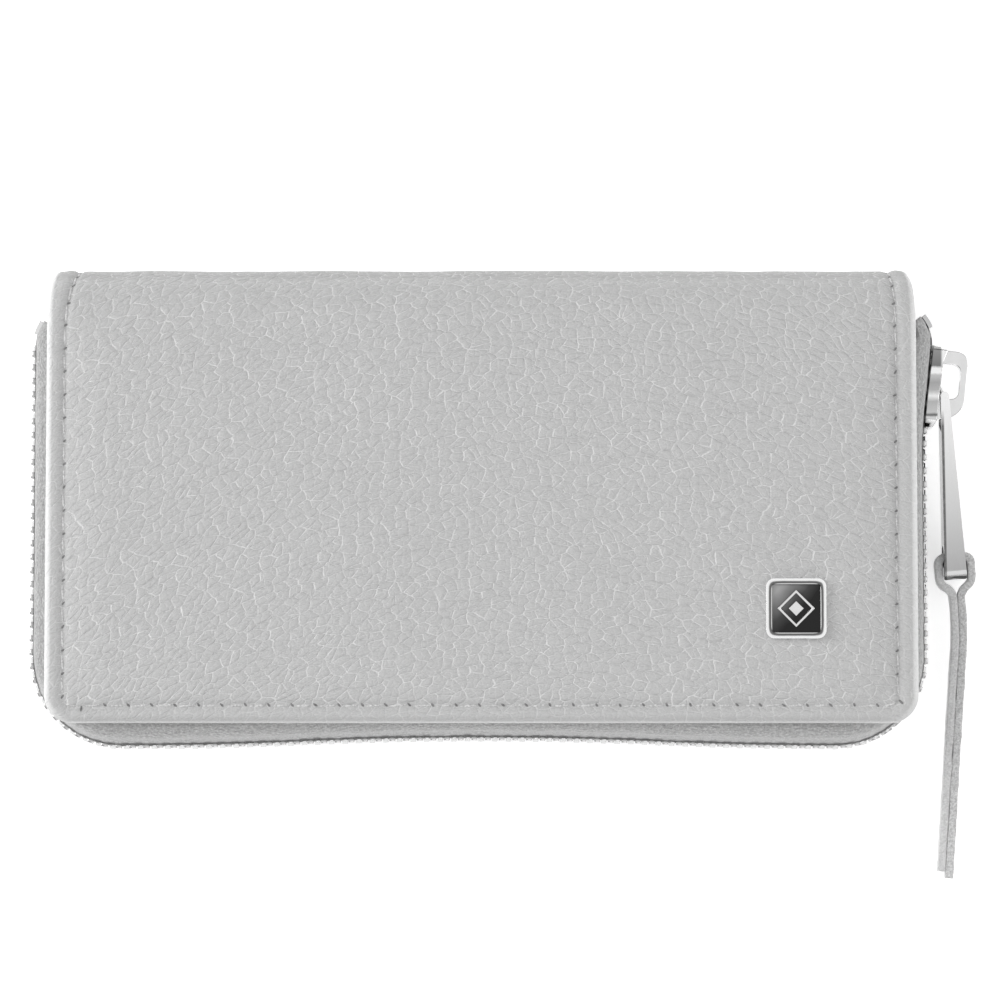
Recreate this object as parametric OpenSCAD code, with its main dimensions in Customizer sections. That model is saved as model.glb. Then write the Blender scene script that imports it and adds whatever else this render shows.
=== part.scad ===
// Zip-around manicure set case, closed and lying flat on its back.
// X is the width, Y points to the folded side (the spine) and Z is the thickness.
// The origin is the middle of the back cover's flat outer face.

/* [Panels] */
// Width of the two leather panels
case_w = 150; // [130:1:180]
// Height from the open side to the crest of the spine
case_h = 79.6; // [72:0.1:95]
// Thickness between the flat margins of the two panels
case_t = 27; // [25:0.5:34]
// Corner radius of the panels at the open side
panel_r = 4.8; // [3:0.2:8]
// Thickness of the leather
leather_t = 1.2; // [0.8:0.1:1.6]
// Radius of the leather's turned edge
edge_r = 0.9; // [0.4:0.1:1.1]
// Thickness of the stiff boards
board_t = 1.8; // [1.2:0.1:2.4]
// Thickness of the lining
lining_t = 0.8; // [0.5:0.1:1.2]
// Height of the padded crown on the front
crown_h = 1.3; // [0.6:0.1:2]
// Width over which the crown rises from the stitches
crown_shoulder = 9; // [5:0.5:14]
// Distance of the crown's foot from the panel's edge
crown_inset = 3.4; // [2.5:0.1:5]

/* [Spine] */
// Radius of the spine's shallow middle
spine_r = 20; // [18:0.5:30]
// Radius of the spine's two corners
spine_corner_r = 7.75; // [5:0.25:9]
// Gap between a panel's leather and the spine's leather
fold_gap = 0.5; // [0.5:0.1:1]

/* [Zip] */
// Distance of the zip line outside the panels at the two sides
zip_out_x = 1.9; // [1.6:0.1:4]
// Distance by which the zip line lies to the left of the panels' middle
zip_left = 0.5; // [0:0.1:1]
// Distance of the zip line outside the panels at the open side
zip_out_y = 2.8; // [2:0.1:5]
// Distance by which the zip line draws in at the middle of the open side
zip_wave = 1.4; // [0.2:0.1:2]
// Radius of the zip line at the two corners
zip_r = 15; // [12:0.5:18]
// Distance of the straight sides' upper end from the spine
zip_end_gap = 4.3; // [3:0.1:6]
// Radius with which the zip's ends turn in
hook_r = 7; // [5:0.5:9]
// Angle by which the zip's ends turn in
hook_a = 35; // [20:1:45]
// Thickness of the woven tape
tape_t = 0.6; // [0.4:0.1:0.8]
// Radius of the bend with which the tape leaves the panel
tape_bend_r = 2.2; // [1.5:0.1:2.4]
// Width of the tape's flat seam between board and lining
tape_seam = 5; // [3:0.1:7]
// Radius of the cord in the tape's edge
bead_r = 0.55; // [0.4:0.05:0.6]
// Distance of the cord from the middle of the closed chain
bead_drop = 1.75; // [1.7:0.05:1.9]
// Clearance of cord and tape in the teeth and stops
cord_clear = 0.03; // [0.02:0.01:0.05]

/* [Teeth] */
// Spacing of the teeth of one row
pitch = 2.37; // [2.3:0.01:3]
// Thickness of a tooth along the chain
tooth_l = 1.04; // [0.8:0.01:1.1]
// Reach of a tooth's head past the middle of the chain
head_reach = 0.8; // [0.6:0.05:0.9]
// Half the width of a tooth's head
head_half = 0.8; // [0.6:0.05:0.9]
// Distance of a tooth's legs from the middle of the chain
leg_reach = 2.7; // [2.5:0.05:3]
// Half the width over a tooth's legs
leg_half = 1.15; // [1:0.05:1.3]
// Radius of the nib on a tooth's head
nib_r = 0.3; // [0.2:0.05:0.4]
// Height of the nib
nib_h = 0.18; // [0.1:0.02:0.18]
// Clearance round the nib in the next tooth's hollow
nib_clear = 0.06; // [0.03:0.01:0.1]
// Length of the stops at the zip's ends
stop_l = 2.2; // [1.5:0.1:3]

/* [Slider] */
// Distance of the slider's middle below the straight sides' upper end
slider_drop = 6.8; // [6.5:0.1:12]
// Outward lean of the slider
slider_tilt = 6; // [0:0.5:8]
// Radius of the bend from the straight side to the slider
lean_r = 30; // [20:1:60]
// Clearance of the teeth in the slider's channel
slider_clear = 0.2; // [0.15:0.01:0.3]
// Thickness of the slider's two plates
plate_t = 1.25; // [0.9:0.05:1.5]
// Thickness of the slider's flanges
flange_t = 0.7; // [0.5:0.05:1]
// Clearance of the tape in the slot between the flanges
slot_clear = 0.2; // [0.15:0.01:0.3]
// Length of the slider below its middle
slider_tail = 7.1; // [6.5:0.1:9]
// Length of the slider above its middle
slider_mouth = 7.4; // [7:0.1:9]
// Height by which the plates flare at the mouth
mouth_flare = 0.9; // [0.4:0.1:1.2]
// Amount by which the slider's mouth spreads each row of teeth
row_spread = 1.8; // [1.6:0.05:2.2]
// Length over which the rows spread
spread_l = 5.5; // [4.5:0.1:6]

/* [Crown of the slider] */
// Width of the crown across the slider
bridge_w = 2.2; // [1.8:0.1:2.4]
// Height of the crown above the outer plate
bridge_h = 4.7; // [4.5:0.1:5]
// Distance of the crown's lower end from the slider's middle
bridge_low = 5.3; // [5:0.1:5.5]
// Distance of the crown's upper end from the slider's middle
bridge_top = 6.8; // [6.5:0.1:7]
// Height of the crown's window
window_h = 3.4; // [3.2:0.1:3.6]
// Distance of the window's lower end from the slider's middle
window_low = 1.6; // [1.6:0.05:1.8]
// Distance of the window's upper end from the slider's middle
window_top = 4.4; // [4:0.1:4.6]

/* [Pull] */
// Radius of the crossbar in the crown's window
bar_r = 0.72; // [0.6:0.02:0.76]
// Distance of the crossbar's axis below the slider's middle
bar_low = 0.4; // [0.2:0.05:0.4]
// Clearance of the crossbar above the outer plate
bar_clear = 0.15; // [0.1:0.01:0.3]
// Length of the pull below the crossbar's axis
pull_l = 33.6; // [28:0.2:36]
// Thickness of the pull's lower end
pull_end_t = 4; // [3:0.1:4.1]
// Width of the pull at the crossbar
pull_w = 6.8; // [6.6:0.1:8]
// Width of the pull at its lower end
pull_end_w = 6.2; // [5:0.1:6.4]
// Width of the pull's window
pull_window_w = 5.4; // [5:0.05:5.4]
// Length of the pull's window below the crossbar's axis
pull_window_l = 6.6; // [6.4:0.1:8]
// Distance of the strap hole from the pull's lower end
hole_up = 4; // [3.9:0.1:6]
// Radius of the strap hole
hole_r = 1.95; // [1.9:0.05:2.1]
// Corner radius of the pull's lower end
pull_corner_r = 2.4; // [2:0.1:2.6]
// Chamfer of the pull's lower end
pull_chamfer = 0.4; // [0.2:0.05:0.6]
// Height of the strap hole above the table, with the pull resting
hole_height = 4.6; // [4.5:0.1:6]
// Angle by which the resting pull leans away from the case
pull_lean = 4.5; // [3:0.5:6]

/* [Strap] */
// Thickness of the strap
strap_t = 1.4; // [1:0.1:1.5]
// Width of the strap
strap_w = 3.2; // [2.4:0.1:3.3]
// Clearance between the strap's loop and the pull
strap_clear = 0.15; // [0.1:0.01:0.4]
// Length of the strap below the hole
strap_l = 56; // [40:1:59]
// Radius of the strap's bends at the hole
strap_bend_r = 1.4; // [1.1:0.1:1.6]
// Length of the loop's straight sides
strap_side = 2.2; // [2:0.1:4]
// Angle at which the loop's sides close below the pull
strap_close_a = 60; // [50:1:75]
// Angle by which the strap's tails turn back to the case
strap_turn = 8; // [2:0.5:9]
// Radius of that turn
strap_turn_r = 60; // [40:1:90]
// Height left under the middle of the resting strap's end, as its tails slope sideways
strap_lift = 0.12; // [0.12:0.01:0.5]
// Length over which the two sides are glued before they turn
glued_l = 1; // [0.6:0.1:3]
// Length by which one tail is cut shorter
tail_step = 1.1; // [0:0.1:3]

/* [Badge] */
// Distance of the badge's middle from the panel's right edge
badge_in = 21.1; // [19:0.1:40]
// Distance of the badge's middle from the open side
badge_up = 19.4; // [16:0.1:30]
// Side of the square badge
badge_w = 10.3; // [9:0.1:14]
// Height of the badge's frame
badge_h = 1.1; // [0.8:0.05:1.5]
// Width of the badge's frame
badge_frame_w = 1; // [0.8:0.05:1.1]
// Corner radius of the badge
badge_r = 1.4; // [1.2:0.1:2]
// Thickness of the plate in the frame
badge_plate_t = 0.6; // [0.4:0.05:0.7]
// Height of the plain relief on the plate
relief_h = 0.25; // [0.15:0.05:0.3]
// Radius of the badge's prongs
prong_r = 0.45; // [0.3:0.05:0.5]
// Thickness of the plate behind the badge
backing_t = 0.5; // [0.3:0.05:0.6]
// Distance by which the plate behind the badge is wider all round
backing_edge = 0.6; // [0.4:0.1:0.7]

/* [Inside] */
// Number of tool loops
loop_count = 5; // [3:1:5]
// Spacing of the tool loops
loop_pitch = 25; // [20:0.5:27]
// Inner radius of a tool loop
loop_r = 6; // [5.8:0.1:7]
// Thickness of the loop band
loop_t = 1; // [0.6:0.1:1.4]
// Width of the loop band
loop_w = 14; // [8:0.5:18]
// Distance of the loop band's lower edge from the open side
loop_up = 44; // [36:0.5:50]
// Depth of the tip pockets
pocket_d = 15; // [10:0.5:18]
// Distance of the tip pockets' closed end from the open side
pocket_up = 6; // [5:0.5:10]
// Width of the flat pocket on the front lining
slip_w = 112; // [80:1:120]
// Depth of the flat pocket
slip_d = 46; // [30:1:52]
// Distance of the flat pocket's closed end from the open side
slip_up = 7; // [5:0.5:12]
// Thickness of the pockets' cloth
cloth_t = 0.8; // [0.5:0.1:1.2]
// Width of the flat pocket's sewn edges
slip_seam = 3; // [2:0.1:5]
// Height of the flat pocket's mouth
slip_gap = 0.3; // [0.3:0.05:0.8]

/* [Hidden] */
$fn = 64;

// Larger than the part: the size of the blocks that cut or select
far = 400;
// Thickness of the slices that a padded crown is stretched over
slice_t = 0.01;
// Number of slices in the crown's shoulder
crown_steps = 5;
// Facets of the crown's corners and of the small round cuts
small_fn = 24;
// Facets of the nibs on the teeth
nib_fn = 16;
// Largest turn and longest step between two sections of a bend
bend_step = 6;
bend_l = 8;

// Panels
side_x = case_w / 2;
open_y = -case_h / 2;
crest_y = case_h / 2;
mid_z = case_t / 2;
seat_z = leather_t + board_t;
lining_z = seat_z + tape_t;
inside_z = lining_z + lining_t;

// Spine: a shallow arc and two corner arcs, tangent to each other and to the panels
spine_a = asin((case_t / 2 - spine_corner_r) / (spine_r - spine_corner_r));
spine_depth = spine_r * (1 - cos(spine_a)) + spine_corner_r * cos(spine_a);
flat_y = crest_y - spine_depth;
panel_y = flat_y - fold_gap;
// Gap between the boards and the spine, and between the lining's filling and the tape
board_gap = 0.3;
board_y = panel_y - board_gap;

// Zip line, walked from its closed end at the left to its open end at the right
zip_x = side_x + zip_out_x;
zip_y = open_y - zip_out_y;
zip_top = flat_y - zip_end_gap;
slider_y = zip_top - slider_drop;
// Place on the slider, from its middle, at which the rows begin to spread
spread_from = -1;
spread_to = spread_from + spread_l;
// Length of the straight stretch below the slider's tail
lean_gap = 0.2;
lean_l = slider_tail + lean_gap;
lean_start = slider_y - lean_l * cos(slider_tilt) - lean_r * sin(slider_tilt);
// Distance below the slider's mouth at which the zip's open end turns in
hook_lead = 1;
open_l = slider_mouth - spread_to - hook_lead;
// Extra angle by which the open end turns in
end_turn = 5;
// Three shallow arcs draw the open side in
open_half = zip_x - zip_r;
wave_a = 2 * atan(zip_wave / open_half);
wave_r = open_half / (2 * sin(wave_a));
// Each stretch is [length, 0] or [radius, angle], where a positive angle turns left
zip_path = [
  [hook_r, hook_a],
  [zip_top - zip_y - zip_r, 0],
  [zip_r, 90],
  [wave_r, wave_a],
  [wave_r, -2 * wave_a],
  [wave_r, wave_a],
  [zip_r, 90],
  [lean_start - zip_y - zip_r, 0],
  [lean_r, -slider_tilt],
  [lean_l + spread_from, 0],
  [spread_l, 0],
  [open_l, 0],
  [hook_r, hook_a + slider_tilt + end_turn]
];
// Stretch of the path over which the rows spread
spread_seg = 10;
// Width of the tape's seam at the turned-in ends, which aren't sewn
seam_end = 0.3;
zip_start = [-zip_left - zip_x + hook_r - hook_r * cos(hook_a), zip_top + hook_r * sin(hook_a), -90 - hook_a];
spread_s = path_length(zip_path, spread_seg);
slider_s = spread_s - spread_from;
zip_l = path_length(zip_path, len(zip_path));
slider_at = place_on(zip_path, zip_start, slider_s);
stop_a = stop_l / hook_r * 180 / PI;
first_tooth = stretch_length(zip_path[0]);
tooth_count = floor((zip_l - stop_l - first_tooth - tooth_l + pitch / 2) / pitch);

// Slider
channel_half = leg_half + slider_clear;
plate_out = channel_half + plate_t;
slot_half = tape_t / 2 + slot_clear;
tail_half = leg_reach + slider_clear;
mouth_half = tail_half + row_spread;
wedge_half = row_spread - head_reach - slider_clear / 2;
bar_out = plate_out + bar_clear + bar_r;
// Place on the slider, from its middle, at which its plates begin to flare
flare_lead = 0.5;
flare_from = spread_to - flare_lead;

// Pull and strap: the pull droops until its hole is at the given height
hole_low = pull_l - hole_up;
pull_droop = asin((mid_z - hole_height) / (hole_low * cos(pull_lean)));
strap_dip = asin((hole_height - strap_w / 2 - strap_lift) / strap_l);
loop_half = pull_end_t / 2 + strap_clear + strap_t / 2;
close_r = (loop_half - strap_t / 2) / (2 * (1 - cos(strap_close_a)));
close_l = 2 * close_r * sin(strap_close_a);
tail_l = strap_l - strap_bend_r - strap_side - close_l;

// Badge
crown_top = case_t + crown_h - slice_t;
badge_x = side_x - badge_in;
badge_y = open_y + badge_up;
badge_in_r = badge_r - badge_frame_w;
prong_at = badge_w / 2 - badge_r + (badge_r - badge_frame_w / 2) / sqrt(2);
backing_half = badge_w / 2 + backing_edge;

// Inside
loop_span = (loop_count - 1) * loop_pitch;

// Length of the first n stretches of a path
function stretch_length(g) = g[1] == 0 ? g[0] : g[0] * abs(g[1]) * PI / 180;
function path_length(path, n) = n == 0 ? 0 : stretch_length(path[n - 1]) + path_length(path, n - 1);

// Place [x, y, heading] after the distance t along a stretch that starts at f
function step_on(f, g, t) = g[1] == 0
  ? [f[0] + t * cos(f[2]), f[1] + t * sin(f[2]), f[2]]
  : let(side = sign(g[1]), h = f[2] + side * t / g[0] * 180 / PI)
    [f[0] + side * g[0] * (sin(h) - sin(f[2])), f[1] - side * g[0] * (cos(h) - cos(f[2])), h];
function place_on(path, f, s, i = 0) = let(l = stretch_length(path[i]))
  (s <= l || i == len(path) - 1)
    ? step_on(f, path[i], s)
    : place_on(path, step_on(f, path[i], l), s - l, i + 1);

// How far a row of teeth is spread at the distance s along the zip
function spread_at(s) = row_spread * min(1, max(0, (s - spread_s) / spread_l));

// Sweeps a profile along one stretch: the profile's x points outward, its y up
module sweep_stretch(f, g) {
  if (g[1] == 0) {
    translate([f[0], f[1], 0])
      rotate([90, 0, f[2] - 90])
        translate([0, 0, -g[0]])
          linear_extrude(g[0]) children();
  } else if (g[1] > 0) {
    translate([f[0] - g[0] * sin(f[2]), f[1] + g[0] * cos(f[2]), 0])
      rotate([0, 0, f[2] - 90])
        rotate_extrude(angle = g[1]) translate([g[0], 0]) children();
  } else {
    translate([f[0] + g[0] * sin(f[2]), f[1] - g[0] * cos(f[2]), 0])
      rotate([0, 0, f[2] + 90 + g[1]])
        rotate_extrude(angle = -g[1]) translate([g[0], 0]) mirror([1, 0]) children();
  }
}

module sweep_path(path, f, from, to) {
  for (i = [from:to])
    sweep_stretch(place_on(path, f, path_length(path, i)), path[i]) children();
}

// Turns what is modelled on the back half into its twin on the front half
module on_front() {
  translate([0, 0, case_t]) mirror([0, 0, 1]) children();
}

// Ring sector between two angles less than 180 degrees apart
module ring_sector(outer, inner, from, to) {
  middle = (from + to) / 2;
  intersection() {
    difference() {
      circle(outer);
      circle(inner);
    }
    polygon([[0, 0], far * [cos(from), sin(from)], far * [cos(middle), sin(middle)], far * [cos(to), sin(to)]]);
  }
}

// Flat outline from y up to top, 2 x wide, with two corners of radius r at its lower side
module outline(x, y, r, top) {
  translate([-x, y + r]) square([2 * x, top - y - r]);
  translate([-x + r, y]) square([2 * (x - r), r]);
  for (side = [-1, 1])
    translate([side * (x - r), y + r]) circle(r);
}

// Flat outline of a panel, drawn in by the given distance
module panel_outline(inset, top) {
  outline(side_x - inset, open_y + inset, panel_r - inset, top);
}

// Leather panel: a flat sheet and its edge, turned up round the board
module panel_leather() {
  turned_path = [[panel_y - open_y - panel_r, 0], [panel_r, 90], [2 * (side_x - panel_r), 0], [panel_r, 90],
    [panel_y - open_y - panel_r, 0]];
  linear_extrude(leather_t) panel_outline(leather_t, panel_y);
  sweep_path(turned_path, [-side_x, panel_y, -90], 0, len(turned_path) - 1) {
    translate([-leather_t, edge_r]) square([leather_t, seat_z - edge_r]);
    translate([-leather_t, 0]) square([leather_t - edge_r, edge_r]);
    intersection() {
      translate([-edge_r, edge_r]) circle(edge_r);
      translate([-edge_r, 0]) square(edge_r);
    }
  }
}

// Slice of the padded crown: t runs from 0 at the foot to 1 at the top
module crown_slice(t) {
  inset = crown_inset + crown_shoulder * (1 - cos(90 * t));
  r = panel_r;
  translate([0, 0, crown_h * sin(90 * t) - slice_t * t])
    linear_extrude(slice_t)
      for (x = [-1, 1], y = [open_y + inset + r, panel_y - inset + crown_inset - r])
        translate([x * (side_x - inset - r), y]) circle(r, $fn = small_fn);
}

// The crown's solid, standing on the given height
module crown_block(z) {
  translate([0, 0, z])
    hull()
      for (i = [0:crown_steps])
        crown_slice(i / crown_steps);
}

module prongs(r, z, h) {
  for (x = [-1, 1], y = [-1, 1])
    translate([badge_x + x * prong_at, badge_y + y * prong_at, z]) cylinder(h = h, r = r);
}

module rounded_square(w, r) {
  square([w, w - 2 * r], center = true);
  square([w - 2 * r, w], center = true);
  for (x = [-1, 1], y = [-1, 1])
    translate([x * (w / 2 - r), y * (w / 2 - r)]) circle(r);
}

// Stiff board inside a panel
module panel_board() {
  translate([0, 0, leather_t]) linear_extrude(board_t) panel_outline(leather_t, board_y);
}

// Lining: a sheet over the tape's seam, filled up inside the seam
module panel_lining() {
  inner = tape_bend_r + tape_seam + board_gap;
  r = zip_r - inner;
  translate([0, 0, lining_z])
    linear_extrude(lining_t) outline(side_x - leather_t, open_y + leather_t, r, board_y);
  translate([-zip_left, 0, seat_z])
    linear_extrude(tape_t) outline(zip_x - inner, zip_y + zip_wave + inner, r, board_y);
}

// Distances along a path at which a sweep needs a section: closer where it bends
function stations(path) = [
  for (i = [0:len(path) - 1])
    let(a = abs(path[i][1]), l = stretch_length(path[i]), n = a == 0 ? 1 : ceil(max(a / bend_step, l / bend_l)))
      for (j = [0:n - 1]) path_length(path, i) + l * j / n,
  path_length(path, len(path))
];

// Point beside a path: n outward from the place f
function beside(f, n) = [f[0] + n * sin(f[2]), f[1] - n * cos(f[2])];

function arc_points(centre, r, from, to, steps) = [
  for (i = [0:steps])
    let(a = from + (to - from) * i / steps)
      [centre[0] + r * cos(a), centre[1] + r * sin(a)]
];

// Section of the tape: seam, bend, strip and the cord in its edge, for a cord lowered by drop
function tape_section(seam, drop) =
  let(
    bend = [-tape_bend_r, seat_z + tape_t / 2 + tape_bend_r],
    cord = [0, mid_z - bead_drop - drop],
    neck = asin(tape_t / 2 / bead_r)
  )
  concat(
    [[-tape_bend_r - seam, seat_z]],
    arc_points(bend, tape_bend_r + tape_t / 2, -90, 0, 3),
    arc_points(cord, bead_r, neck - 90, 270 - neck, 7),
    arc_points(bend, tape_bend_r - tape_t / 2, 0, -90, 3),
    [[-tape_bend_r - seam, seat_z + tape_t]]
  );

// Width of the tape's seam, which ends where the zip turns in at the spine
function seam_at(s) =
  let(from = stretch_length(zip_path[0]), to = path_length(zip_path, spread_seg - 2))
  s >= from && s <= to ? tape_seam : seam_end;

// Woven tape of one half, as it stands with the slider near the open end
module zip_tape() {
  at = stations(zip_path);
  sections = [for (s = at) tape_section(seam_at(s), spread_at(s))];
  m = len(sections[0]);
  points = [
    for (k = [0:len(at) - 1], p = sections[k])
      let(q = beside(place_on(zip_path, zip_start, at[k]), p[0]))
        [q[0], q[1], p[1]]
  ];
  sides = [
    for (k = [0:len(at) - 2], i = [0:m - 1])
      let(a = k * m + i, b = k * m + (i + 1) % m)
        each [[a, b, b + m], [a, b + m, a + m]]
  ];
  first_cap = [[for (i = [m - 1:-1:0]) i]];
  last_cap = [[for (i = [0:m - 1]) (len(at) - 1) * m + i]];
  polyhedron(points, concat(sides, first_cap, last_cap), convexity = 6);
}

// Space for the cord and the tape in what is closed on them
module cord_space(slant) {
  for (z = [-slant, slant])
    translate([0, z]) circle(bead_r + cord_clear, $fn = small_fn);
  translate([-tape_t / 2 - cord_clear, -far]) square([tape_t + 2 * cord_clear, far]);
}

// One tooth in profile: head above the chain's middle, legs closed on the cord
module tooth_profile(slant) {
  neck = -0.5;
  chamfer = 0.25;
  difference() {
    polygon([
      [-head_half + chamfer, head_reach], [head_half - chamfer, head_reach],
      [head_half, head_reach - chamfer], [head_half, neck],
      [leg_half, neck - chamfer * 2], [leg_half, -leg_reach + chamfer], [leg_half - chamfer, -leg_reach],
      [-leg_half + chamfer, -leg_reach], [-leg_half, -leg_reach + chamfer], [-leg_half, neck - chamfer * 2],
      [-head_half, neck], [-head_half, head_reach - chamfer]
    ]);
    translate([0, -bead_drop]) cord_space(slant);
  }
}

module tooth(slant) {
  difference() {
    translate([0, 0, -tooth_l / 2]) linear_extrude(tooth_l) tooth_profile(slant);
    translate([0, 0, -tooth_l / 2 - nib_clear])
      cylinder(h = nib_h + 2 * nib_clear, r = nib_r + nib_clear, $fn = nib_fn);
  }
  translate([0, 0, tooth_l / 2 - nib_h]) cylinder(h = 2 * nib_h, r = nib_r, $fn = nib_fn);
}

// Row of teeth of one half, starting at the given distance along the zip
module tooth_row(start) {
  for (i = [0:tooth_count - 1]) {
    s = start + i * pitch;
    f = place_on(zip_path, zip_start, s);
    slope = (spread_at(s + tooth_l / 2) - spread_at(s - tooth_l / 2)) / 2;
    translate([f[0], f[1], mid_z - spread_at(s)]) rotate([90, 0, f[2] - 90]) tooth(slope);
  }
}

// Stop closed on one row's cord
module row_stop() {
  sweep_stretch(place_on(zip_path, zip_start, zip_l - stop_l), [hook_r, stop_a])
    translate([0, mid_z - bead_drop - row_spread])
      difference() {
        square([2 * leg_half, 2 * leg_half], center = true);
        cord_space(0);
      }
}

module half_disc(r) {
  intersection() {
    circle(r);
    translate([-far / 2, 0]) square(far);
  }
}

// Band of half-round arches with flat lands between them
module arch_profile() {
  land = loop_pitch - 2 * loop_r;
  for (i = [0:loop_count - 1])
    translate([i * loop_pitch - loop_span / 2, 0])
      difference() {
        half_disc(loop_r + loop_t);
        circle(loop_r);
      }
  for (i = [0:loop_count])
    translate([(i - 1 / 2) * loop_pitch - loop_span / 2 - land / 2, 0]) square([land, loop_t]);
}

// Puts what is drawn as Y and Z into a slab that stands across X
module across(low, high) {
  translate([low, 0, 0]) rotate([90, 0, 90]) linear_extrude(high - low) children();
}

// Puts the slider's own frame at its place on the zip: X outward, Y to its mouth
module at_slider() {
  translate([slider_at[0], slider_at[1], mid_z]) rotate([0, 0, slider_at[2] - 90]) children();
}

// Puts the pull's own frame at its crossbar: the pull hangs along -Y
module at_pull() {
  translate([slider_at[0], slider_at[1], mid_z])
    rotate([0, 0, slider_at[2] - 90])
      translate([bar_out, -bar_low, 0])
        rotate([0, 0, 90 - slider_at[2]])
          rotate([pull_droop, 0, 0])
            rotate([0, 0, pull_lean]) children();
}

// The slider's channel seen from outside: narrow at the tail, wide at the mouth
module channel_outline() {
  polygon([
    [-far, -tail_half], [spread_from, -tail_half], [spread_from + spread_l, -mouth_half], [far, -mouth_half],
    [far, mouth_half], [spread_from + spread_l, mouth_half], [spread_from, tail_half], [-far, tail_half]
  ]);
}

module back_cover() {
  color("silver") panel_leather();
}

module back_board() {
  color("tan") panel_board();
}

module back_lining() {
  color("gray") panel_lining();
}

module back_zip_tape() {
  color("darkgray") zip_tape();
}

module back_zip_teeth() {
  color("gainsboro") tooth_row(first_tooth);
}

module back_top_stop() {
  color("gainsboro") row_stop();
}

module zip_bottom_stop() {
  color("gainsboro")
    sweep_stretch(zip_start, [hook_r, stop_a])
      translate([0, mid_z])
        difference() {
          square([2 * leg_half, 2 * leg_reach], center = true);
          translate([0, -bead_drop]) cord_space(0);
          translate([0, bead_drop]) mirror([0, 1]) cord_space(0);
        }
}

module tool_loop_band() {
  color("dimgray")
    translate([0, open_y + loop_up + loop_w, inside_z])
      rotate([90, 0, 0])
        linear_extrude(loop_w) arch_profile();
}

module tip_pocket() {
  color("dimgray")
    translate([0, open_y + pocket_up, inside_z]) {
      translate([0, pocket_d, 0]) rotate([90, 0, 0]) linear_extrude(pocket_d) arch_profile();
      translate([0, loop_t, 0])
        rotate([90, 0, 0])
          linear_extrude(loop_t)
            for (i = [0:loop_count - 1])
              translate([i * loop_pitch - loop_span / 2, 0]) half_disc(loop_r + loop_t);
    }
}

// The spine's section, as a sheet between two depths under the leather's outer face
module spine_sheet(outer, inner) {
  translate([side_x, 0, 0])
    rotate([90, 0, -90])
      linear_extrude(case_w)
        mirror([1, 0]) {
          translate([crest_y - spine_r, mid_z])
            ring_sector(spine_r - outer, spine_r - inner, -spine_a, spine_a);
          for (side = [-1, 1])
            translate([flat_y, mid_z + side * (mid_z - spine_corner_r)])
              ring_sector(spine_corner_r - outer, spine_corner_r - inner,
                side > 0 ? spine_a : -90, side > 0 ? 90 : -spine_a);
        }
}

module spine_cover() {
  color("silver") spine_sheet(0, leather_t);
}

module spine_lining() {
  color("gray") spine_sheet(leather_t, leather_t + lining_t);
}

module front_cover() {
  color("silver")
    difference() {
      union() {
        on_front() panel_leather();
        crown_block(case_t - slice_t);
      }
      crown_block(case_t - leather_t - slice_t);
      prongs(prong_r, case_t - leather_t, leather_t + 2 * crown_h);
    }
}

module front_padding() {
  color("khaki")
    difference() {
      intersection() {
        crown_block(case_t - leather_t - slice_t);
        translate([-far / 2, -far / 2, case_t - leather_t]) cube([far, far, 2 * crown_h]);
      }
      translate([badge_x - backing_half, badge_y - backing_half, crown_top - leather_t - backing_t])
        cube([2 * backing_half, 2 * backing_half, far]);
    }
}

module front_board() {
  color("tan") on_front() panel_board();
}

module front_lining() {
  color("gray") on_front() panel_lining();
}

module front_zip_tape() {
  color("darkgray") on_front() zip_tape();
}

module front_zip_teeth() {
  color("gainsboro") on_front() tooth_row(first_tooth + pitch / 2);
}

module front_top_stop() {
  color("gainsboro") on_front() row_stop();
}

module slip_pocket() {
  color("dimgray")
    translate([-slip_w / 2, open_y + slip_up, case_t - inside_z - slip_gap - cloth_t]) {
      cube([slip_w, slip_d, cloth_t]);
      translate([0, 0, cloth_t]) cube([slip_seam, slip_d, slip_gap]);
      translate([slip_w - slip_seam, 0, cloth_t]) cube([slip_seam, slip_d, slip_gap]);
      translate([0, 0, cloth_t]) cube([slip_w, slip_seam, slip_gap]);
    }
}

module badge_frame() {
  color("gainsboro") {
    translate([badge_x, badge_y, crown_top])
      linear_extrude(badge_h)
        difference() {
          rounded_square(badge_w, badge_r);
          rounded_square(badge_w - 2 * badge_frame_w, badge_in_r);
        }
    prongs(prong_r, crown_top - leather_t, leather_t + badge_h / 2);
  }
}

module badge_inlay() {
  color("darkslategray")
    translate([badge_x, badge_y, crown_top])
      linear_extrude(badge_plate_t) rounded_square(badge_w - 2 * badge_frame_w, badge_in_r);
}

// Plain relief of two lozenges, one inside the other
module badge_motif() {
  margin = 0.9;
  rib = 0.6;
  outer = badge_w / 2 - badge_frame_w - margin;
  color("gainsboro")
    translate([badge_x, badge_y, crown_top + badge_plate_t])
      linear_extrude(relief_h) {
        difference() {
          circle(outer, $fn = 4);
          circle(outer - rib, $fn = 4);
        }
        circle(outer / 2 - rib / 2, $fn = 4);
      }
}

module badge_backing() {
  color("gray")
    translate([badge_x - backing_half, badge_y - backing_half, crown_top - leather_t - backing_t])
      cube([2 * backing_half, 2 * backing_half, backing_t]);
}

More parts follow.
